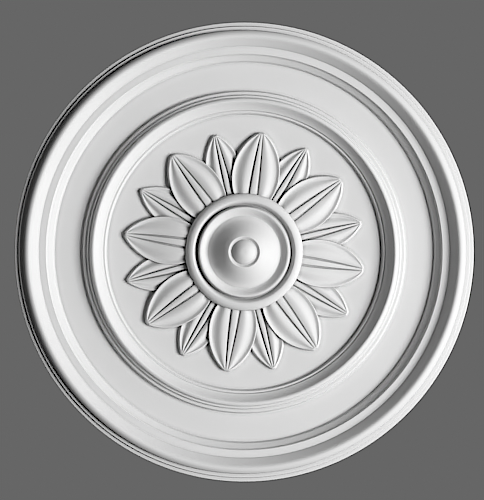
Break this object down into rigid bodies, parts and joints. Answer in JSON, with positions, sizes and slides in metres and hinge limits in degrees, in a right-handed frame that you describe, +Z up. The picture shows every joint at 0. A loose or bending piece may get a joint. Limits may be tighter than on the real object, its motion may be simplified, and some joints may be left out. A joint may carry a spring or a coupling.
{
  "type": "ceiling rose",
  "caption": "Round plaster ceiling rose: a moulded rim and inner ring round a flower of leaves and a turned boss, with a flat back that fixes to the ceiling.",
  "frame": {"origin": "centre of the flat back, where the rose meets the ceiling", "axes": "+Z up, out of the back into the ceiling, along the axis of the rose; the carved face looks down, -Z; one large leaf points 8.5 degrees from +X towards +Y"},
  "size_m": [0.6, 0.6, 0.054],
  "materials": {
    "painted_plaster": "matt white emulsion paint on fine cast gypsum plaster, with a bare, struck-off back"
  },
  "bodies": {
    "root": {"ceiling_rose": "painted_plaster"}
  },
  "joints": []
}
